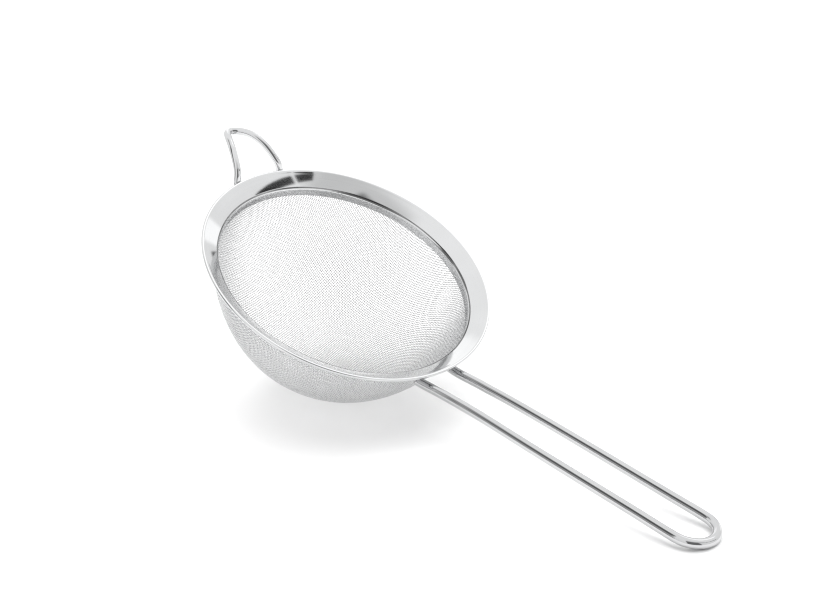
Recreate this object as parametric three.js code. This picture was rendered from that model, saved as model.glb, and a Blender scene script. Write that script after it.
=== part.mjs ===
// Round wire-cloth tea strainer: a funnel-shaped rim with a turned-down collar,
// a deep woven basket pinched between the collar and an outer clamp ring, a long
// looped wire handle on +X and a bent wire rest hook on the opposite side.
// Units are millimetres. Everything is modelled in the rim frame (Z is the rim
// axis, Z = 0 is the shoulder where the flange turns down into the collar, +X
// points along the handle) and is then laid down at the angle it rests at on a
// table: on the bottom of the basket and on the end of the handle.
import * as THREE from 'three';
import { mergeVertices } from 'three/addons/utils/BufferGeometryUtils.js';

// ---- rim (pressed sheet) --------------------------------------------------
const SHEET_T = 0.5;            // sheet thickness
const SHOULDER_R = 40.0;        // where the flange line meets the shoulder plane
const COLLAR_R = 39.25;         // inner radius of the turned-down collar
const COLLAR_BOTTOM_Z = -3.0;
const FLANGE_SLOPE = 0.655;     // rise per unit of radius
const SHOULDER_BEND_R = 1.0;    // inside bend between collar and flange
const LIP_R = 45.28;            // outermost radius of the hemmed lip
const LIP_Z = 2.95;             // flat top of the hemmed lip
const LIP_T = 0.85;             // thickness of the hem
const RIM_SEGMENTS = 72;

// ---- basket (woven wire cloth, drawn into a bowl) --------------------------
const CLOTH_T = 0.4;
const NECK_R = 40.45;           // outer radius where the cloth is clamped
const NECK_TOP_Z = -1.05;
const BOWL_TOP_Z = -2.6;        // the bowl begins below the clamped neck
const BOWL_DEPTH = 33.8;        // from BOWL_TOP_Z to the bottom
const BOWL_M = 1.3;             // profile: r = NECK_R * (1 - (h / depth)^M)^(1 / N)
const BOWL_N = 2.76;
const BASKET_SEGMENTS = 64;

// ---- clamp ring ------------------------------------------------------------
const RING_IN_R = 40.75;
const RING_OUT_R = 41.3;
const RING_TOP_Z = -0.55;
const RING_BOTTOM_Z = -1.85;

// ---- handle ----------------------------------------------------------------
const HANDLE_WIRE_D = 2.8;
const HANDLE_HALF_GAP = 6.85;   // centre line of each arm from the XZ plane
const HANDLE_SIDES = 10;
const HANDLE_STEPS = 92;
// centre line of an arm in the XZ plane, from the clamp ring outwards
const HANDLE_LINE = [
  [41.45, -2.3], [43.5, -1.72], [46.5, -0.62], [50.0, 0.76], [53.5, 2.14], [57.2, 3.5],
  [61.0, 4.92], [66.5, 6.86], [72.0, 8.7], [80.0, 11.34], [92.0, 15.3],
  [105.0, 19.59], [116.0, 23.22], [127.3, 26.95],
];

// ---- rest hook --------------------------------------------------------------
const HOOK_WIRE_D = 2.4;
const HOOK_SIDES = 8;
const HOOK_STEPS = 56;
// half of the loop from its weld under the flange to the middle of its bent-down
// tip: [distance outwards, half width, height]
const HOOK_LINE = [
  [40.75, 9.3, -1.3], [42.4, 9.2, -0.35], [43.9, 9.05, 0.4], [45.15, 8.8, 1.2], [45.95, 8.55, 2.45],
  [46.75, 8.2, 3.75], [48.4, 7.65, 4.95], [51.0, 6.9, 6.25], [53.5, 6.15, 7.15], [55.9, 5.3, 7.6],
  [58.3, 4.3, 7.6], [60.4, 3.1, 7.15], [62.0, 1.7, 6.5], [62.8, 0.0, 6.1],
];

// ---- resting attitude --------------------------------------------------------
const REST_TILT_DEG = 27.86;    // rim axis leans towards +X until the handle end touches
const FOOT_RISE = 0.62;         // the cloth within this height of the table lies flat on it

// -----------------------------------------------------------------------------
const steel = (hex, roughness, metalness = 1.0) =>
  new THREE.MeshStandardMaterial({ color: new THREE.Color(hex), roughness, metalness });

const group = new THREE.Group();
group.name = 'tea_strainer';
const tilted = new THREE.Group();
tilted.rotation.y = THREE.MathUtils.degToRad(REST_TILT_DEG);
group.add(tilted);

function signedVolume(geometry) {
  const p = geometry.attributes.position;
  const idx = geometry.index;
  const n = idx ? idx.count : p.count;
  const a = new THREE.Vector3(), b = new THREE.Vector3(), c = new THREE.Vector3();
  let v = 0;
  for (let i = 0; i < n; i += 3) {
    const [i0, i1, i2] = idx ? [idx.getX(i), idx.getX(i + 1), idx.getX(i + 2)] : [i, i + 1, i + 2];
    a.fromBufferAttribute(p, i0); b.fromBufferAttribute(p, i1); c.fromBufferAttribute(p, i2);
    v += a.dot(b.cross(c)) / 6;
  }
  return v;
}

// weld coincident corners and make every face point outwards
function solid(geometry) {
  let g = geometry.index ? geometry.toNonIndexed() : geometry;
  g = g.clone();
  for (const name of Object.keys(g.attributes)) if (name !== 'position') g.deleteAttribute(name);
  g.clearGroups();
  g = mergeVertices(g, 1e-5);
  const keep = [];
  const ix = g.index.array;
  for (let i = 0; i < ix.length; i += 3) {
    const [a, b, c] = [ix[i], ix[i + 1], ix[i + 2]];
    if (a !== b && b !== c && a !== c) keep.push(a, b, c);
  }
  g.setIndex(keep);
  if (signedVolume(g) < 0) {
    const r = g.index.array;
    for (let i = 0; i < r.length; i += 3) { const t = r[i + 1]; r[i + 1] = r[i + 2]; r[i + 2] = t; }
  }
  g.computeVertexNormals();
  return g;
}

// turn a closed (or axis-to-axis) profile of [radius, z] about the Z axis
function turned(profile, segments) {
  const g = new THREE.LatheGeometry(profile.map(([r, z]) => new THREE.Vector2(r, z)), segments);
  g.rotateX(Math.PI / 2);       // LatheGeometry turns about Y
  return solid(g);
}

// a round wire along a curve
function wire(curve, diameter, sides, steps) {
  const shape = new THREE.Shape();
  for (let i = 0; i < sides; i++) {
    const a = ((i + 0.5) / sides) * Math.PI * 2;
    const x = (diameter / 2) * Math.cos(a), y = (diameter / 2) * Math.sin(a);
    if (i === 0) shape.moveTo(x, y); else shape.lineTo(x, y);
  }
  shape.closePath();
  return solid(new THREE.ExtrudeGeometry(shape, { steps, bevelEnabled: false, extrudePath: curve }));
}

function addMesh(name, geometry, material) {
  const mesh = new THREE.Mesh(geometry, material);
  mesh.name = name;
  tilted.add(mesh);
  return mesh;
}

// ---- rim ----------------------------------------------------------------------
// The flange rises from the shoulder to a hemmed lip with a narrow flat top; the
// collar hangs from the shoulder and is the smooth band seen inside the bowl.
const slopeAngle = Math.atan(FLANGE_SLOPE);
const bendEnd = Math.PI / 2 + slopeAngle;               // where the bend meets the flange
const bendR = COLLAR_R + SHOULDER_BEND_R;
const bendZ = FLANGE_SLOPE * (bendR + SHOULDER_BEND_R * Math.cos(bendEnd) - SHOULDER_R)
  - SHOULDER_BEND_R * Math.sin(bendEnd);
const onFlange = (r, drop = 0) => FLANGE_SLOPE * (r - SHOULDER_R) - drop / Math.cos(slopeAngle);
const rimProfile = [[COLLAR_R, COLLAR_BOTTOM_Z]];
for (let i = 0; i <= 4; i++) {
  const a = Math.PI + (bendEnd - Math.PI) * (i / 4);
  rimProfile.push([bendR + SHOULDER_BEND_R * Math.cos(a), bendZ + SHOULDER_BEND_R * Math.sin(a)]);
}
rimProfile.push(
  [42.2, onFlange(42.2)], [44.1, onFlange(44.1)], [44.5, LIP_Z],
  [45.05, LIP_Z], [45.22, LIP_Z - 0.12], [LIP_R, LIP_Z - 0.4], [45.2, LIP_Z - 0.7],
  [45.0, LIP_Z - LIP_T], [44.5, LIP_Z - LIP_T], [44.15, onFlange(44.15, SHEET_T) - 0.05],
  [43.7, onFlange(43.7, SHEET_T)], [42.0, onFlange(42.0, SHEET_T)],
);
for (let i = 0; i <= 3; i++) {
  const a = bendEnd + (Math.PI - bendEnd) * (i / 3);
  const r = SHOULDER_BEND_R - SHEET_T;
  rimProfile.push([bendR + r * Math.cos(a), bendZ + r * Math.sin(a)]);
}
rimProfile.push([COLLAR_R + SHEET_T, COLLAR_BOTTOM_Z], [COLLAR_R, COLLAR_BOTTOM_Z]);
addMesh('rim', turned(rimProfile, RIM_SEGMENTS), steel(0xe4e6e8, 0.12));

// ---- basket ---------------------------------------------------------------------
const bowlOuter = (h) => NECK_R * Math.pow(Math.max(0, 1 - Math.pow(h / BOWL_DEPTH, BOWL_M)), 1 / BOWL_N);
const outer = [[NECK_R, NECK_TOP_Z], [NECK_R, BOWL_TOP_Z]];
const STATIONS = 13;
for (let i = 1; i < STATIONS; i++) {
  const h = BOWL_DEPTH * Math.sin((i / STATIONS) * Math.PI / 2);
  outer.push([bowlOuter(h), BOWL_TOP_Z - h]);
}
outer.push([0, BOWL_TOP_Z - BOWL_DEPTH]);
const inner = [];
for (let i = 0; i < outer.length; i++) {
  const p = outer[Math.max(0, i - 1)], q = outer[Math.min(outer.length - 1, i + 1)];
  let nx = -(q[1] - p[1]), ny = q[0] - p[0];
  const len = Math.hypot(nx, ny);
  nx /= len; ny /= len;                       // points away from the bowl
  if (i <= 1) { nx = 1; ny = 0; }
  if (i === outer.length - 1) { nx = 0; ny = -1; }
  inner.push([Math.max(0, outer[i][0] - nx * CLOTH_T), outer[i][1] - ny * CLOTH_T]);
}
inner[0] = [NECK_R - CLOTH_T, NECK_TOP_Z];
inner[inner.length - 1] = [0, BOWL_TOP_Z - BOWL_DEPTH + CLOTH_T];
const basketProfile = [...outer.slice().reverse(), ...inner];
const basket = addMesh('mesh_basket', turned(basketProfile, BASKET_SEGMENTS), steel(0xd2d5d8, 0.32));

// ---- clamp ring -------------------------------------------------------------------
addMesh('clamp_ring', turned([
  [RING_IN_R, RING_BOTTOM_Z], [RING_IN_R, RING_TOP_Z], [RING_OUT_R, RING_TOP_Z],
  [RING_OUT_R, RING_BOTTOM_Z], [RING_IN_R, RING_BOTTOM_Z],
], RIM_SEGMENTS), steel(0xc8cbce, 0.25));

// ---- handle -----------------------------------------------------------------------
const handlePoints = [];
for (const [x, z] of HANDLE_LINE) handlePoints.push(new THREE.Vector3(x, HANDLE_HALF_GAP, z));
const [xe, ze] = HANDLE_LINE[HANDLE_LINE.length - 1];
const [xf, zf] = HANDLE_LINE[HANDLE_LINE.length - 2];
const dirLen = Math.hypot(xe - xf, ze - zf);
const dx = (xe - xf) / dirLen, dz = (ze - zf) / dirLen;
for (let i = 1; i < 12; i++) {
  const a = Math.PI / 2 - (i / 12) * Math.PI;
  const s = HANDLE_HALF_GAP * Math.cos(a);
  handlePoints.push(new THREE.Vector3(xe + s * dx, HANDLE_HALF_GAP * Math.sin(a), ze + s * dz));
}
for (const [x, z] of HANDLE_LINE.slice().reverse()) handlePoints.push(new THREE.Vector3(x, -HANDLE_HALF_GAP, z));
addMesh('handle_wire', wire(new THREE.CatmullRomCurve3(handlePoints, false, 'centripetal'),
  HANDLE_WIRE_D, HANDLE_SIDES, HANDLE_STEPS), steel(0xdcdfe1, 0.14));

// ---- rest hook ----------------------------------------------------------------------
const hookPoints = HOOK_LINE.map(([x, y, z]) => new THREE.Vector3(-x, y, z));
for (const [x, y, z] of HOOK_LINE.slice(0, -1).reverse()) hookPoints.push(new THREE.Vector3(-x, -y, z));
addMesh('rest_hook', wire(new THREE.CatmullRomCurve3(hookPoints, false, 'centripetal'),
  HOOK_WIRE_D, HOOK_SIDES, HOOK_STEPS), steel(0xdcdfe1, 0.16));

// ---- place the origin under the middle of the object, on the table ---------------------
group.updateMatrixWorld(true);
const box = new THREE.Box3();
const v = new THREE.Vector3();
for (const mesh of tilted.children) {
  const p = mesh.geometry.attributes.position;
  for (let i = 0; i < p.count; i++) box.expandByPoint(v.fromBufferAttribute(p, i).applyMatrix4(mesh.matrixWorld));
}

// ---- the foot: the outside of the basket is flat where it stands on the table ------------
const toTable = tilted.matrixWorld, fromTable = tilted.matrixWorld.clone().invert();
const basketPositions = basket.geometry.attributes.position;
for (let i = 0; i < basketPositions.count; i++) {
  v.fromBufferAttribute(basketPositions, i);
  const r = Math.hypot(v.x, v.y), z = v.z;
  if (!outer.some((p) => Math.abs(p[0] - r) < 1e-3 && Math.abs(p[1] - z) < 1e-3)) continue;
  v.applyMatrix4(toTable);
  if (v.z > box.min.z + FOOT_RISE) continue;
  v.z = box.min.z;
  v.applyMatrix4(fromTable);
  basketPositions.setXYZ(i, v.x, v.y, v.z);
}
tilted.position.set(-(box.min.x + box.max.x) / 2, -(box.min.y + box.max.y) / 2, -box.min.z);
group.updateMatrixWorld(true);

export default group;
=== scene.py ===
import math
import bpy
import numpy as np
from mathutils import Matrix, Vector


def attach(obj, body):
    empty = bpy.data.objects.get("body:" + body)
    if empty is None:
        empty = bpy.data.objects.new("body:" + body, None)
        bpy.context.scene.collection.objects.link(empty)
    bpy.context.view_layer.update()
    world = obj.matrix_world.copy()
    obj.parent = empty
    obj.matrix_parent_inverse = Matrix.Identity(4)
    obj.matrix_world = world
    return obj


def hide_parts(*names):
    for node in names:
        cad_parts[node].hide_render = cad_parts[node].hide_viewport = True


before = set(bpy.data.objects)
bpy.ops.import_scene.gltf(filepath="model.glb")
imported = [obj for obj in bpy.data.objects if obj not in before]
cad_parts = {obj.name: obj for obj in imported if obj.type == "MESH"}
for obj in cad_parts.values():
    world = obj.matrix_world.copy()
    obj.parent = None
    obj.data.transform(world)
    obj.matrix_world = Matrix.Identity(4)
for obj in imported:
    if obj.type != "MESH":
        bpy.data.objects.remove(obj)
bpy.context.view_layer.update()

# ------------------------------------------------------------------ the rim frame
# Pieces are drawn in the rim frame (millimetres, Z the rim's axis, Z = 0 the
# shoulder, +X along the handle) and meshed in the row frame, laid down.
MM = 0.001
TILT = math.radians(27.86)
ORIGIN_MM = (-39.7052948938444, 0.0, 38.1845388825187)
LAY = Matrix.Translation(Vector(ORIGIN_MM) * MM) @ Matrix.Rotation(TILT, 4, "Y")
ROW = np.array(LAY)


def to_row(p_mm):
    p = np.asarray(p_mm, float) * MM
    return p @ ROW[:3, :3].T + ROW[:3, 3]


def new_object(name, verts, faces, smooth=True, uv=None, mats=None):
    """A mesh object from points in the rim frame."""
    mesh = bpy.data.meshes.new(name)
    mesh.from_pydata([tuple(v) for v in to_row(verts)], [], [tuple(f) for f in faces])
    mesh.validate()
    mesh.update()
    if smooth:
        mesh.polygons.foreach_set("use_smooth", [True] * len(mesh.polygons))
    if uv is not None:
        layer = mesh.uv_layers.new(name="UVMap")
        layer.data.foreach_set("uv", np.asarray(uv, np.float32).ravel())
    obj = bpy.data.objects.new(name, mesh)
    bpy.context.scene.collection.objects.link(obj)
    return obj


def keep_edges(obj, angle=40.0):
    """Smooth shading with hard edges past an angle."""
    mesh = obj.data
    mesh.set_sharp_from_angle(angle=math.radians(angle))


# ------------------------------------------------------------------ shapes
SHEET_T, SHOULDER_R, COLLAR_R, COLLAR_BOTTOM_Z = 0.5, 40.0, 39.25, -3.0
FLANGE_SLOPE, BEND_R = 0.655, 1.0
LIP_R, LIP_Z, LIP_T = 45.28, 2.95, 0.85
DOME = 0.055                       # how far the pressed flange bows up between its edges
CREASE_SHADE_R = (39.62, 39.99)          # radii of the crease beside the shoulder's bead, where painted shade darkens the colour


def arc(cx, cz, r, a0, a1, n):
    return [(cx + r * math.cos(a0 + (a1 - a0) * i / n), cz + r * math.sin(a0 + (a1 - a0) * i / n)) for i in range(n + 1)]


def line(p, q, n):
    return [(p[0] + (q[0] - p[0]) * i / n, p[1] + (q[1] - p[1]) * i / n) for i in range(n + 1)]


def turned(name, profile, segments):
    """A closed profile of (radius, z) turned about Z."""
    prof = np.array(profile, float)
    n = len(prof)
    a = np.linspace(0, 2 * np.pi, segments, endpoint=False)
    v = np.empty((segments, n, 3))
    v[..., 0] = np.cos(a)[:, None] * prof[:, 0]
    v[..., 1] = np.sin(a)[:, None] * prof[:, 0]
    v[..., 2] = prof[:, 1]
    faces = []
    for i in range(segments):
        i2 = (i + 1) % segments
        for j in range(n):
            j2 = (j + 1) % n
            faces.append((i * n + j, i2 * n + j, i2 * n + j2, i * n + j2))
    area = 0.5 * np.sum(prof[:, 0] * np.roll(prof[:, 1], -1) - np.roll(prof[:, 0], -1) * prof[:, 1])
    if area < 0:
        faces = [f[::-1] for f in faces]
    return new_object(name, v.reshape(-1, 3), faces)


def rim_profile():
    slope = math.atan(FLANGE_SLOPE)
    end = math.pi / 2 + slope
    br = COLLAR_R + BEND_R
    bz = FLANGE_SLOPE * (br + BEND_R * math.cos(end) - SHOULDER_R) - BEND_R * math.sin(end)
    on = lambda r, drop=0.0: FLANGE_SLOPE * (r - SHOULDER_R) - drop / math.cos(slope)
    dome = lambda r: on(r) + DOME * max(0.0, 1 - ((r - 42.0) / 1.95) ** 2)
    p = []
    p += [(COLLAR_R + 0.06, COLLAR_BOTTOM_Z), (COLLAR_R + 0.015, COLLAR_BOTTOM_Z + 0.05), (COLLAR_R, COLLAR_BOTTOM_Z + 0.14)]
    p += line((COLLAR_R, COLLAR_BOTTOM_Z + 0.5), (COLLAR_R, bz - 0.08), 3)
    p += arc(br, bz, BEND_R, math.pi, end + 0.13, 14)
    p += [(39.66, on(39.62) - 0.07), (39.73, on(39.70) - 0.17), (39.80, on(39.78) - 0.20), (39.87, on(39.87) - 0.13),
          (39.93, on(39.93) - 0.04), (39.99, on(39.99) - 0.005)]
    p += [(r, dome(r)) for r in np.linspace(40.1, 43.75, 13)]
    # the flange eases into the flat of the lip, and the lip is hemmed under
    p += [(43.95, on(43.95) + 0.004), (44.15, on(44.15) + 0.002), (44.32, on(44.32) - 0.012), (44.46, LIP_Z - 0.055),
          (44.6, LIP_Z - 0.018), (44.75, LIP_Z)]
    p += [(44.9, LIP_Z)] + arc(44.9, LIP_Z - LIP_T / 2, LIP_T / 2 - 0.001, math.radians(88), math.radians(-88), 14)
    p += [(44.8, LIP_Z - LIP_T), (44.55, LIP_Z - LIP_T), (44.4, LIP_Z - LIP_T + 0.03), (44.2, on(44.2, SHEET_T) + 0.0)]
    p += line((44.0, on(44.0, SHEET_T)), (40.3, on(40.3, SHEET_T)), 6)
    p += arc(br, bz, BEND_R - SHEET_T, end, math.pi, 8)
    p += line((COLLAR_R + SHEET_T, bz - 0.1), (COLLAR_R + SHEET_T, COLLAR_BOTTOM_Z + 0.12), 3)
    p += [(COLLAR_R + SHEET_T - 0.02, COLLAR_BOTTOM_Z + 0.04), (COLLAR_R + SHEET_T - 0.08, COLLAR_BOTTOM_Z)]
    # the lip's round end is drawn with the radius above, so shift it out to LIP_R
    q = []
    for r, z in p:
        if r > 44.9:
            r = 44.9 + (r - 44.9) * (LIP_R - 44.9) / (LIP_T / 2)
        q.append((r, z))
    return q


rim = turned("rim_shell", rim_profile(), 288)
keep_edges(rim, 50)


def ring_profile():
    r0, r1, z0, z1, c = 40.75, 41.3, -1.85, -0.55, 0.12
    p = []
    for (cx, cz, a) in ((r1 - c, z1 - c, 0), (r0 + c, z1 - c, 90), (r0 + c, z0 + c, 180), (r1 - c, z0 + c, 270)):
        p += arc(cx, cz, c, math.radians(a), math.radians(a + 90), 4)
    return p


ring = turned("clamp_band", ring_profile(), 288)

# ------------------------------------------------------------------ wires


def catmull(points, per=24):
    """A centripetal Catmull-Rom curve through the points, sampled finely."""
    P = np.array(points, float)
    P = np.vstack([2 * P[0] - P[1], P, 2 * P[-1] - P[-2]])
    out = []
    for i in range(1, len(P) - 2):
        p0, p1, p2, p3 = P[i - 1], P[i], P[i + 1], P[i + 2]
        d0, d1, d2 = (max(np.linalg.norm(b - a), 1e-6) ** 0.5 for a, b in ((p0, p1), (p1, p2), (p2, p3)))
        t1 = ((p1 - p0) / d0 - (p2 - p0) / (d0 + d1) + (p2 - p1) / d1) * d1
        t2 = ((p2 - p1) / d1 - (p3 - p1) / (d1 + d2) + (p3 - p2) / d2) * d1
        for k in range(per):
            u = k / per
            out.append(p1 + t1 * u + (-3 * p1 + 3 * p2 - 2 * t1 - t2) * u * u + (2 * p1 - 2 * p2 + t1 + t2) * u ** 3)
    out.append(P[-2])
    return np.array(out)


def respace(path, step):
    seg = np.linalg.norm(np.diff(path, axis=0), axis=1)
    s = np.concatenate([[0], np.cumsum(seg)])
    n = max(2, int(round(s[-1] / step)))
    t = np.linspace(0, s[-1], n + 1)
    return np.stack([np.interp(t, s, path[:, k]) for k in range(3)], 1), s[-1]


def swept(name, path, radius, sides, end_round=0.35):
    """A round wire along a path, with ends rounded over by end_round."""
    path = np.asarray(path, float)
    t = np.gradient(path, axis=0)
    t /= np.linalg.norm(t, axis=1)[:, None]
    n = np.empty_like(t)
    ref = np.array([0.0, 0.0, 1.0]) if abs(t[0][2]) < 0.9 else np.array([0.0, 1.0, 0.0])
    n[0] = ref - t[0] * np.dot(ref, t[0])
    n[0] /= np.linalg.norm(n[0])
    for i in range(1, len(path)):
        v = n[i - 1] - t[i] * np.dot(n[i - 1], t[i])
        n[i] = v / np.linalg.norm(v)
    b = np.cross(t, n)
    rings, centres, radii, where = [], [], [], []
    s = np.concatenate([[0], np.cumsum(np.linalg.norm(np.diff(path, axis=0), axis=1))])
    e = end_round
    stations = [(0, e * (1 - math.cos(a)), radius - e * (1 - math.sin(a))) for a in (0, math.pi / 6, math.pi / 3)]
    total = s[-1]
    at = [d for _, d, _ in stations] + [d for d in s if e < d < total - e] + [total - d for _, d, _ in reversed(stations)]
    rad = [r for _, _, r in stations] + [radius] * sum(1 for d in s if e < d < total - e) + [r for _, _, r in reversed(stations)]
    ang = np.linspace(0, 2 * np.pi, sides, endpoint=False)
    verts = []
    for d, r in zip(at, rad):
        c = np.array([np.interp(d, s, path[:, k]) for k in range(3)])
        nn = np.array([np.interp(d, s, n[:, k]) for k in range(3)])
        bb = np.array([np.interp(d, s, b[:, k]) for k in range(3)])
        nn /= np.linalg.norm(nn)
        bb /= np.linalg.norm(bb)
        verts.append(c + r * (np.cos(ang)[:, None] * nn + np.sin(ang)[:, None] * bb))
    m = len(verts)
    verts = np.concatenate(verts)
    faces, uv = [], []
    for i in range(m - 1):
        for j in range(sides):
            j2 = (j + 1) % sides
            faces.append((i * sides + j, i * sides + j2, (i + 1) * sides + j2, (i + 1) * sides + j))
            u0, u1, v0, v1 = at[i] / 100, at[i + 1] / 100, j / sides, (j + 1) / sides
            uv += [(u0, v0), (u0, v1), (u1, v1), (u1, v0)]
    faces.append(tuple(range(sides))[::-1])
    uv += [(0.0, j / sides) for j in range(sides)]
    faces.append(tuple((m - 1) * sides + j for j in range(sides)))
    uv += [(at[-1] / 100, j / sides) for j in range(sides)]
    obj = new_object(name, verts, faces, uv=uv)
    keep_edges(obj, 60)
    return obj


HANDLE_HALF_GAP, HANDLE_R = 6.85, 1.4
HANDLE_LINE = [
    (41.45, -2.3), (43.5, -1.72), (46.5, -0.62), (50.0, 0.76), (53.5, 2.14), (57.2, 3.5),
    (61.0, 4.92), (66.5, 6.86), (72.0, 8.7), (80.0, 11.34), (92.0, 15.3),
    (105.0, 19.59), (116.0, 23.22), (127.3, 26.95),
]



def arm_y(x):
    """Centre line of an arm: the two draw together a little beside the rim."""
    return HANDLE_HALF_GAP - 0.45 * float(np.interp(x, (41.0, 46.0, 58.0, 84.0), (0.3, 1.0, 0.9, 0.0)))


pts = [(x, arm_y(x), z) for x, z in HANDLE_LINE]
(xe, ze), (xf, zf) = HANDLE_LINE[-1], HANDLE_LINE[-2]
dl = math.hypot(xe - xf, ze - zf)
for i in range(1, 12):
    a = math.pi / 2 - i / 12 * math.pi
    s_ = HANDLE_HALF_GAP * math.cos(a)
    pts.append((xe + s_ * (xe - xf) / dl, HANDLE_HALF_GAP * math.sin(a), ze + s_ * (ze - zf) / dl))
pts += [(x, -arm_y(x), z) for x, z in reversed(HANDLE_LINE)]
handle_path, _ = respace(catmull(pts), 0.6)
handle = swept("handle_loop", handle_path, HANDLE_R, 32)

HOOK_R = 1.2
HOOK_LINE = [
    (40.75, 9.3, -1.3), (42.4, 9.2, -0.35), (43.9, 9.05, 0.4), (45.15, 8.8, 1.2), (45.95, 8.55, 2.45),
    (46.75, 8.2, 3.75), (48.4, 7.65, 4.95), (51.0, 6.9, 6.25), (53.5, 6.15, 7.15), (55.9, 5.3, 7.6),
    (58.3, 4.3, 7.6), (60.4, 3.1, 7.15), (62.0, 1.7, 6.5), (62.8, 0.0, 6.1),
]
pts = [(-x, y, z) for x, y, z in HOOK_LINE] + [(-x, -y, z) for x, y, z in reversed(HOOK_LINE[:-1])]
hook_path, _ = respace(catmull(pts), 0.45)
hook = swept("hook_loop", hook_path, HOOK_R, 28, end_round=0.3)


def weld(name, centre, direction, size, seed):
    """A small weld bead: a squashed drop with an uneven skirt."""
    rng = np.random.default_rng(seed)
    rows, cols = 9, 20
    ph = rng.uniform(0, 2 * np.pi, 4)
    d = np.array(direction, float)
    d /= np.linalg.norm(d)
    up = np.array([0.0, 0.0, 1.0])
    u = np.cross(up, d)
    u /= np.linalg.norm(u)
    w = np.cross(d, u)
    verts = [tuple(np.array(centre) + d * size[0])]
    for i in range(1, rows):
        th = math.pi * i / rows
        for j in range(cols):
            a = 2 * math.pi * j / cols
            k = 1 + 0.06 * math.sin(3 * a + ph[0]) + 0.05 * math.sin(5 * a + ph[1]) + 0.03 * math.sin(2 * th + ph[2])
            verts.append(tuple(np.array(centre) + d * size[0] * math.cos(th) + k * math.sin(th) * (u * size[1] * math.cos(a) + w * size[2] * math.sin(a))))
    verts.append(tuple(np.array(centre) - d * size[0]))
    faces = []
    for j in range(cols):
        j2 = (j + 1) % cols
        faces.append((0, 1 + j, 1 + j2))
        for i in range(rows - 2):
            a0, a1 = 1 + i * cols, 1 + (i + 1) * cols
            faces.append((a0 + j, a1 + j, a1 + j2, a0 + j2))
        a0 = 1 + (rows - 2) * cols
        faces.append((a0 + j, len(verts) - 1, a0 + j2))
    return new_object(name, verts, faces)


welds = []
for k, sgn in enumerate((1, -1)):
    welds.append(weld("weld_handle_%d" % (k + 1), (41.35, sgn * 6.85, -1.75), (1, 0.1 * sgn, 0.1), (0.75, 1.55, 0.8), 11 + k))
    welds.append(weld("weld_hook_%d" % (k + 1), (-40.6, sgn * 9.3, -1.1), (1, 0, 0), (0.6, 1.35, 0.75), 21 + k))

# ------------------------------------------------------------------ the cloth
# Plain weave drawn into the bowl. A flat cloth is laid on
# the bowl so that every patch keeps its area, as drawing does; wires keep their
# places in the cloth and go over and under each other by one wire radius.
NECK_MID_R, BOWL_TOP_Z, BOWL_D, PM, PN = 40.25, -2.6, 33.6, 1.3, 2.76
CLOTH_TOP_Z = -1.1
PITCH, WIRE_R, WEAVE_ANGLE = 0.65, 0.112, math.radians(13.5)

h = BOWL_D * np.sin(np.linspace(0, np.pi / 2, 3000)) ** 1.0
prof_r = NECK_MID_R * np.clip(1 - (h / BOWL_D) ** PM, 0, 1) ** (1 / PN)
prof_z = BOWL_TOP_Z - h
prof_r = np.concatenate([prof_r[::-1], [NECK_MID_R]])
prof_z = np.concatenate([prof_z[::-1], [CLOTH_TOP_Z]])
seg = np.hypot(np.diff(prof_r), np.diff(prof_z))
cum_area = np.concatenate([[0], np.cumsum(np.pi * (prof_r[1:] + prof_r[:-1]) * seg)])
prof_q = np.sqrt(cum_area / np.pi)
QMAX = float(prof_q[-1])
keep = np.concatenate([[True], np.diff(prof_q) > 1e-9])
prof_q, prof_r, prof_z = prof_q[keep], prof_r[keep], prof_z[keep]
dr = np.gradient(prof_r, prof_q)
dz = np.gradient(prof_z, prof_q)
ln = np.hypot(dr, dz)
prof_nr, prof_nz = dz / ln, -dr / ln            # points away from the bowl
prof_nr[0], prof_nz[0] = 0.0, -1.0


def on_bowl(x, y):
    """Point and outward normal on the bowl for cloth places x, y."""
    q = np.hypot(x, y)
    th = np.arctan2(y, x)
    r, z = np.interp(q, prof_q, prof_r), np.interp(q, prof_q, prof_z)
    nr, nz = np.interp(q, prof_q, prof_nr), np.interp(q, prof_q, prof_nz)
    c, s = np.cos(th), np.sin(th)
    n = np.stack([nr * c, nr * s, nz], -1)
    n /= np.linalg.norm(n, axis=-1, keepdims=True)
    return np.stack([r * c, r * s, z], -1), n


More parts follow.
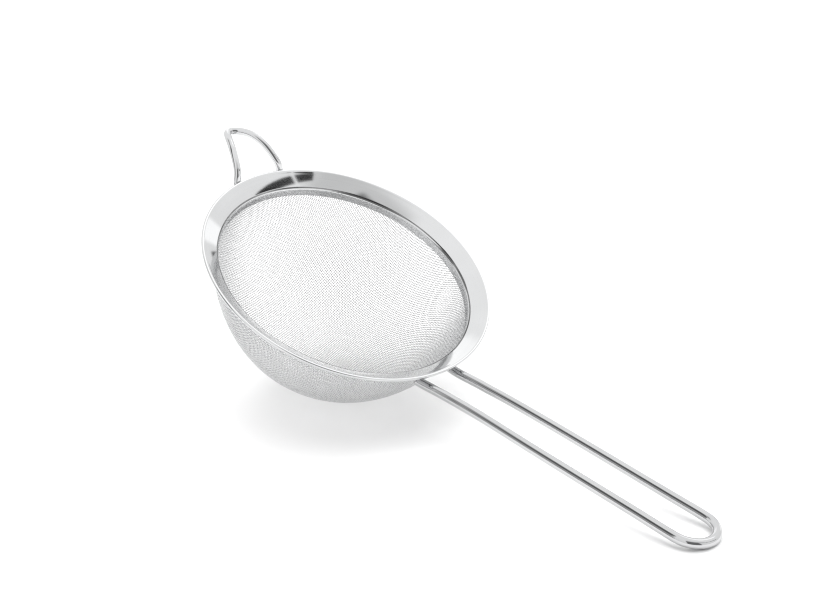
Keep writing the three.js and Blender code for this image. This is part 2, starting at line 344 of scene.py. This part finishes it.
def cloth(name, along_x, half_of):
    """One half of the wires that run one way; half_of is -1 or 1."""
    count = int(QMAX / PITCH)
    ca, sa = math.cos(WEAVE_ANGLE), math.sin(WEAVE_ANGLE)
    verts, quads, uvs = [], [], []
    base = 0
    total = 2 * count + 1
    for i in range(-count, count + 1):
        off = i * PITCH
        if abs(off) >= QMAX - 0.15 or (i >= 0) != (half_of > 0):
            continue
        half = math.sqrt(QMAX ** 2 - off ** 2)
        jm = int(half / PITCH)
        # a point at each crossing and one half way to the next
        js = np.arange(-2 * jm, 2 * jm + 1)
        t = js * (PITCH / 2)
        sign = np.where(js % 2 != 0, 0.0, np.where((js // 2 + i) % 2 == 0, 1.0, -1.0)) * (1.0 if along_x else -1.0)
        if half - jm * PITCH > 0.05:
            t = np.concatenate([[-half], t, [half]])
            sign = np.concatenate([[0.0], sign, [0.0]])
        if len(t) < 3:
            continue
        u, v = (t, np.full_like(t, off)) if along_x else (np.full_like(t, off), t)
        x, y = u * ca - v * sa, u * sa + v * ca
        p, n = on_bowl(x, y)
        p = p + n * (sign * WIRE_R)[:, None]
        tan = np.gradient(p, axis=0)
        tan /= np.linalg.norm(tan, axis=1)[:, None]
        nn = n - tan * np.sum(n * tan, 1)[:, None]
        nn /= np.linalg.norm(nn, axis=1)[:, None]
        bb = np.cross(tan, nn)
        m = len(t)
        ringv = np.stack([p + WIRE_R * nn, p + WIRE_R * bb, p - WIRE_R * nn, p - WIRE_R * bb], 1)
        verts.append(ringv.reshape(-1, 3))
        k = base + 4 * np.arange(m - 1)[:, None]
        j = np.arange(4)[None, :]
        j2 = (j + 1) % 4
        f = np.stack([k + j, k + j2, k + 4 + j2, k + 4 + j], -1).reshape(-1, 4)
        quads.append(f)
        row0 = (i + count) / total
        uu = (np.arange(m) + 1) / (2 * count + 4)
        vv = row0 + (np.arange(5) * 0.2 + 0.05) / total
        a0 = np.broadcast_to(uu[:-1, None], (m - 1, 4))
        a1 = np.broadcast_to(uu[1:, None], (m - 1, 4))
        b0 = np.broadcast_to(vv[None, :4], (m - 1, 4))
        b1 = np.broadcast_to(vv[None, 1:], (m - 1, 4))
        uvs.append(np.stack([np.stack([a0, b0], -1), np.stack([a0, b1], -1), np.stack([a1, b1], -1), np.stack([a1, b0], -1)], 2).reshape(-1, 2))
        # end caps
        quads.append(np.array([[base + 3, base + 2, base + 1, base], [base + 4 * (m - 1) + q_ for q_ in range(4)]]))
        e0, e1 = float(uu[0]), float(uu[-1])
        uvs.append(np.array([(e0, row0 + 0.01 / total)] * 4 + [(e1, row0 + 0.01 / total)] * 4))
        base += 4 * m
    verts = to_row(np.concatenate(verts))
    quads = np.concatenate(quads)
    uvs = np.concatenate(uvs)
    mesh = bpy.data.meshes.new(name)
    mesh.vertices.add(len(verts))
    mesh.vertices.foreach_set("co", verts.astype(np.float32).ravel())
    mesh.loops.add(quads.size)
    mesh.loops.foreach_set("vertex_index", quads.astype(np.int32).ravel())
    mesh.polygons.add(len(quads))
    mesh.polygons.foreach_set("loop_start", np.arange(0, quads.size, 4, dtype=np.int32))
    mesh.polygons.foreach_set("loop_total", np.full(len(quads), 4, np.int32))
    mesh.update(calc_edges=True)
    mesh.polygons.foreach_set("use_smooth", np.ones(len(quads), bool))
    layer = mesh.uv_layers.new(name="UVMap")
    layer.data.foreach_set("uv", uvs.astype(np.float32).ravel())
    mesh.update()
    obj = bpy.data.objects.new(name, mesh)
    bpy.context.scene.collection.objects.link(obj)
    return obj


cloths = [cloth("cloth_%s_%d" % (way, k), way == "warp", side)
          for way in ("warp", "weft") for k, side in ((1, -1), (2, 1))]

# ------------------------------------------------------------------ materials


def steel(name, colour, rough, rough_var, kind, scale, bump, bump_dist, crease_shade=False):
    """Bare steel. kind: spun (rings about the rim axis), drawn (lines along a wire, from UV) or cloth."""
    mat = bpy.data.materials.new(name)
    mat.use_nodes = True
    nt = mat.node_tree
    N, L = nt.nodes, nt.links
    N.clear()
    out = N.new("ShaderNodeOutputMaterial")
    bsdf = N.new("ShaderNodeBsdfPrincipled")
    L.new(bsdf.outputs[0], out.inputs[0])
    bsdf.inputs["Metallic"].default_value = 1.0
    coord = N.new("ShaderNodeTexCoord")

    def math_node(op, a=None, b=None, va=0.0, vb=0.0):
        m = N.new("ShaderNodeMath")
        m.operation = op
        m.inputs[0].default_value = va
        if len(m.inputs) > 1:
            m.inputs[1].default_value = vb
        if a is not None:
            L.new(a, m.inputs[0])
        if b is not None:
            L.new(b, m.inputs[1])
        return m.outputs[0]

    if kind == "spun":
        # back into the rim frame, so that the rings run about the rim's axis
        shift = N.new("ShaderNodeVectorMath")
        shift.operation = "SUBTRACT"
        shift.inputs[1].default_value = tuple(c * MM for c in ORIGIN_MM)
        L.new(coord.outputs["Object"], shift.inputs[0])
        turn = N.new("ShaderNodeVectorRotate")
        turn.rotation_type = "Y_AXIS"
        turn.inputs["Angle"].default_value = -TILT
        L.new(shift.outputs[0], turn.inputs["Vector"])
        sep = N.new("ShaderNodeSeparateXYZ")
        L.new(turn.outputs[0], sep.inputs[0])
        r = math_node("SQRT", math_node("ADD", math_node("MULTIPLY", sep.outputs[0], sep.outputs[0]), math_node("MULTIPLY", sep.outputs[1], sep.outputs[1])))
        ang = math_node("ARCTAN2", sep.outputs[1], sep.outputs[0])
        com = N.new("ShaderNodeCombineXYZ")
        L.new(math_node("MULTIPLY", r, vb=scale), com.inputs[0])
        L.new(math_node("MULTIPLY", sep.outputs[2], vb=scale), com.inputs[1])
        # a closed ring in noise space, so that no seam shows
        L.new(math_node("MULTIPLY", math_node("SINE", ang), vb=1.3), com.inputs[2])
        vec = com.outputs[0]
    elif kind == "drawn":
        sep = N.new("ShaderNodeSeparateXYZ")
        L.new(coord.outputs["UV"], sep.inputs[0])
        a = math_node("MULTIPLY", sep.outputs[1], vb=2 * math.pi)
        com = N.new("ShaderNodeCombineXYZ")
        L.new(math_node("MULTIPLY", math_node("COSINE", a), vb=scale), com.inputs[0])
        L.new(math_node("MULTIPLY", math_node("SINE", a), vb=scale), com.inputs[1])
        L.new(math_node("MULTIPLY", sep.outputs[0], vb=9.0), com.inputs[2])
        vec = com.outputs[0]
    else:
        mp = N.new("ShaderNodeMapping")
        mp.inputs["Scale"].default_value = (scale, scale, scale)
        L.new(coord.outputs["Object"], mp.inputs[0])
        vec = mp.outputs[0]
    fine = N.new("ShaderNodeTexNoise")
    fine.inputs["Scale"].default_value = 1.0
    fine.inputs["Detail"].default_value = 5.0
    fine.inputs["Roughness"].default_value = 0.62
    L.new(vec, fine.inputs["Vector"])
    # slow cloudiness: handling marks and the heat tint that polishing leaves
    slow = N.new("ShaderNodeTexNoise")
    slow.inputs["Scale"].default_value = 55.0
    slow.inputs["Detail"].default_value = 3.0
    L.new(coord.outputs["Object"], slow.inputs["Vector"])
    ramp = N.new("ShaderNodeValToRGB")
    ramp.color_ramp.elements[0].position = 0.3
    ramp.color_ramp.elements[0].color = tuple(c * 0.93 for c in colour) + (1,)
    ramp.color_ramp.elements[1].position = 0.7
    ramp.color_ramp.elements[1].color = tuple(min(1.0, c * 1.03) for c in colour) + (1,)
    mixf = math_node("ADD", math_node("MULTIPLY", slow.outputs[0], vb=0.65), math_node("MULTIPLY", fine.outputs[0], vb=0.35))
    L.new(mixf, ramp.inputs[0])
    tint = ramp.outputs[0]
    # painted shade: the crease beside the shoulder's bead is coloured near-black to stand in for the shade and dark
    # reflection in the fold
    if crease_shade:
        crease_shade_mask = math_node("MULTIPLY", math_node("GREATER_THAN", r, vb=CREASE_SHADE_R[0] * MM), math_node("LESS_THAN", r, vb=CREASE_SHADE_R[1] * MM))
        crease_shade_mask = math_node("MULTIPLY", crease_shade_mask, math_node("GREATER_THAN", sep.outputs[2], vb=-0.45 * MM))
        # the painted shade is stronger in some places than others
        crease_shade_patchiness = N.new("ShaderNodeMapRange")
        crease_shade_patchiness.inputs["From Min"].default_value = 0.35
        crease_shade_patchiness.inputs["From Max"].default_value = 0.62
        crease_shade_patchiness.inputs["To Min"].default_value = 0.45
        crease_shade_patchiness.inputs["To Max"].default_value = 0.92
        L.new(slow.outputs[0], crease_shade_patchiness.inputs[0])
        painted_crease_shade = N.new("ShaderNodeMix")
        painted_crease_shade.data_type = "RGBA"
        painted_crease_shade.inputs[7].default_value = (0.05, 0.05, 0.05, 1)
        L.new(math_node("MULTIPLY", crease_shade_mask, crease_shade_patchiness.outputs[0]), painted_crease_shade.inputs[0])
        L.new(tint, painted_crease_shade.inputs[6])
        tint = painted_crease_shade.outputs[2]
    L.new(tint, bsdf.inputs["Base Color"])
    rr = N.new("ShaderNodeMapRange")
    rr.inputs["From Min"].default_value = 0.3
    rr.inputs["From Max"].default_value = 0.7
    rr.inputs["To Min"].default_value = rough - rough_var
    rr.inputs["To Max"].default_value = rough + rough_var
    L.new(mixf, rr.inputs[0])
    L.new(rr.outputs[0], bsdf.inputs["Roughness"])
    if bump:
        b = N.new("ShaderNodeBump")
        b.inputs["Strength"].default_value = bump
        b.inputs["Distance"].default_value = bump_dist
        L.new(fine.outputs[0], b.inputs["Height"])
        L.new(b.outputs[0], bsdf.inputs["Normal"])
    return mat


# the rim's sheet carries painted shade in the crease beside the shoulder's bead
M_RIM = steel("polished_sheet", (0.63, 0.635, 0.64), 0.07, 0.025, "spun", 5200.0, 0.05, 0.00002, crease_shade=True)
M_RING = steel("satin_band", (0.58, 0.585, 0.59), 0.25, 0.06, "spun", 4200.0, 0.12, 0.00003)
M_WIRE = steel("drawn_wire", (0.57, 0.574, 0.58), 0.08, 0.035, "drawn", 9.0, 0.05, 0.00002)
M_HOOK = steel("drawn_wire_thin", (0.60, 0.604, 0.61), 0.08, 0.035, "drawn", 8.0, 0.05, 0.00002)
M_CLOTH = steel("cloth_wire", (0.755, 0.758, 0.763), 0.18, 0.06, "cloth", 3500.0, 0.08, 0.00002)
M_WELD = steel("weld_metal", (0.6, 0.6, 0.6), 0.34, 0.1, "cloth", 2600.0, 0.5, 0.0001)

for obj, mat, slot, node in (
    (rim, M_RIM, "rim_steel", "rim"), (ring, M_RING, "ring_steel", "clamp_ring"),
    (handle, M_WIRE, "wire_steel", "handle_wire"), (hook, M_HOOK, "hook_steel", "rest_hook"),
    *((c, M_CLOTH, "cloth_steel", "mesh_basket") for c in cloths),
):
    obj.data.materials.append(mat)
    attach(obj, "root")
    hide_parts(node)
for obj in welds:
    obj.data.materials.append(M_WELD)
    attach(obj, "root")

for name, slot_mat in (("rim", M_RIM), ("mesh_basket", M_CLOTH), ("clamp_ring", M_RING), ("handle_wire", M_WIRE), ("rest_hook", M_HOOK)):
    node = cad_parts[name]
    for s in node.material_slots:
        s.material = slot_mat

# ------------------------------------------------------------------ stage


def plane(name, size, location, rotation, colour, rough=0.9, emit=0.0):
    sx, sy = size
    mesh = bpy.data.meshes.new(name)
    mesh.from_pydata([(-sx / 2, -sy / 2, 0), (sx / 2, -sy / 2, 0), (sx / 2, sy / 2, 0), (-sx / 2, sy / 2, 0)], [], [(0, 1, 2, 3)])
    obj = bpy.data.objects.new(name, mesh)
    bpy.context.scene.collection.objects.link(obj)
    obj.location = location
    obj.rotation_euler = rotation
    mat = bpy.data.materials.new(name + "_mat")
    mat.use_nodes = True
    b = mat.node_tree.nodes["Principled BSDF"]
    b.inputs["Base Color"].default_value = (*colour, 1)
    b.inputs["Roughness"].default_value = rough
    b.inputs["Specular IOR Level"].default_value = 0.2
    if emit:
        b.inputs["Emission Color"].default_value = (*colour, 1)
        b.inputs["Emission Strength"].default_value = emit
    mesh.materials.append(mat)
    return obj


floor = plane("floor", (8, 8), (0, 0, 0), (0, 0, 0), (0.9, 0.9, 0.9), 0.95)


CAM_POS = Vector((0.24956658192249176, -0.2696597880491107, 0.18747510490659803))
# The room is a white tent with its gaps: soft-edged boxes in degrees of azimuth
# (from +X towards +Y) and elevation, each turned by an angle, that set how bright
# the tent is there.
PATCHES = (
    # az, el, half width, half height, turn, soft width, soft height, brightness
    (139.0, 24.0, 10.0, 15.0, 0.0, 4.0, 10.0, 1.5),     # a lamp behind
    (91.0, 15.0, 6.0, 8.0, 0.0, 3.0, 6.0, 1.55),
    (95.0, 51.0, 15.0, 9.0, 0.0, 6.0, 4.0, 1.8),        # a lamp above it
    (-15.0, 46.0, 36.0, 13.0, -8.0, 16.0, 14.0, 0.84),  # the tent's dim flap over the camera
    (-34.0, 20.0, 24.0, 28.0, 0.0, 5.0, 5.0, 0.22),     # the camera and its stand
    (34.0, 29.5, 18.0, 2.7, -32.0, 1.0, 1.0, 0.05),     # the gap beside the camera
    (27.0, 33.6, 0.8, 9.0, -52.0, 0.7, 4.0, 1.2),
    (104.0, 6.0, 4.6, 2.6, -30.0, 1.5, 1.5, 0.18),      # a low gap behind
    (115.0, 2.0, 7.0, 5.0, -25.0, 8.0, 4.0, 0.9),
    (-114.0, 12.0, 12.0, 20.0, 0.0, 8.0, 14.0, 0.5),    # the gap at the front left
    (-116.0, 47.0, 14.0, 18.0, 0.0, 8.0, 8.0, 0.16),
    (-146.0, 54.0, 18.0, 11.0, 0.0, 12.0, 9.0, 0.5),
)
TENT = 1.24

world = bpy.data.worlds.new("studio")
bpy.context.scene.world = world
world.use_nodes = True
wn, wl = world.node_tree.nodes, world.node_tree.links
bg = wn["Background"]
wc = wn.new("ShaderNodeTexCoord")
wsep = wn.new("ShaderNodeSeparateXYZ")
wl.new(wc.outputs["Generated"], wsep.inputs[0])


def wmath(op, a, b=None):
    m = wn.new("ShaderNodeMath")
    m.operation = op
    for k, v in enumerate((a, b)):
        if v is None:
            continue
        if isinstance(v, (int, float)):
            m.inputs[k].default_value = v
        else:
            wl.new(v, m.inputs[k])
    return m.outputs[0]


def soft_step(value, edge, width, rising):
    r = wn.new("ShaderNodeMapRange")
    r.interpolation_type = "SMOOTHSTEP"
    r.inputs["From Min"].default_value = edge - width / 2
    r.inputs["From Max"].default_value = edge + width / 2
    r.inputs["To Min"].default_value = 0.0 if rising else 1.0
    r.inputs["To Max"].default_value = 1.0 if rising else 0.0
    wl.new(value, r.inputs["Value"])
    return r.outputs[0]


w_az = wmath("MULTIPLY", wmath("ARCTAN2", wsep.outputs[1], wsep.outputs[0]), 180 / math.pi)
w_el = wmath("MULTIPLY", wmath("ARCSINE", wsep.outputs[2]), 180 / math.pi)
bright = wmath("MULTIPLY", soft_step(w_el, 30.0, 50.0, True), 0.12)
bright = wmath("ADD", bright, TENT - 0.12)
for az, el, hw, hh, turned_by, sw, sh, level in PATCHES:
    ca, sa = math.cos(math.radians(turned_by)), math.sin(math.radians(turned_by))
    da, de = wmath("SUBTRACT", w_az, az), wmath("SUBTRACT", w_el, el)
    u = wmath("ABSOLUTE", wmath("ADD", wmath("MULTIPLY", da, ca), wmath("MULTIPLY", de, sa)))
    v = wmath("ABSOLUTE", wmath("ADD", wmath("MULTIPLY", da, -sa), wmath("MULTIPLY", de, ca)))
    mask = wmath("MULTIPLY", soft_step(u, hw, sw, False), soft_step(v, hh, sh, False))
    bright = wmath("ADD", wmath("MULTIPLY", bright, wmath("SUBTRACT", 1.0, mask)), wmath("MULTIPLY", mask, level))
bg.inputs[0].default_value = (1, 1, 1, 1)
wl.new(bright, bg.inputs[1])


def area(name, size, location, target, power):
    light = bpy.data.lights.new(name, "AREA")
    light.shape = "RECTANGLE"
    light.size, light.size_y = size
    light.energy = power
    obj = bpy.data.objects.new(name, light)
    bpy.context.scene.collection.objects.link(obj)
    obj.location = location
    d = Vector(target) - Vector(location)
    obj.rotation_euler = d.to_track_quat("-Z", "Y").to_euler()
    obj.visible_glossy = False
    return obj


area("top_box", (1.8, 1.8), (-0.1, 0.3, 1.25), (0, 0, 0), 17.0)

cam_data = bpy.data.cameras.new("camera")
cam = bpy.data.objects.new("camera", cam_data)
bpy.context.scene.collection.objects.link(cam)
R = ((0.7192559210359869, 0.6947339251727354, -0.0039614730540995695),
     (0.2528175163059401, -0.2670438045606471, -0.9299305941276858),
     (-0.6471122186325723, 0.6678565562004007, -0.36771374306187005))
cam.matrix_world = Matrix((
    (R[0][0], -R[1][0], -R[2][0], CAM_POS.x),
    (R[0][1], -R[1][1], -R[2][1], CAM_POS.y),
    (R[0][2], -R[1][2], -R[2][2], CAM_POS.z),
    (0, 0, 0, 1)))
cam_data.sensor_fit = "HORIZONTAL"
cam_data.sensor_width = 36.0
cam_data.lens = 1400.0951080273785 * 36.0 / 827.0
cam_data.clip_start = 0.01
cam_data.clip_end = 50
bpy.context.scene.camera = cam
bpy.context.scene.view_settings.view_transform = "Standard"
bpy.context.scene.view_settings.look = "None"
bpy.context.scene.cycles.filter_width = 1.2   # fine cloth needs the sharper pixel

bpy.context.view_layer.update()
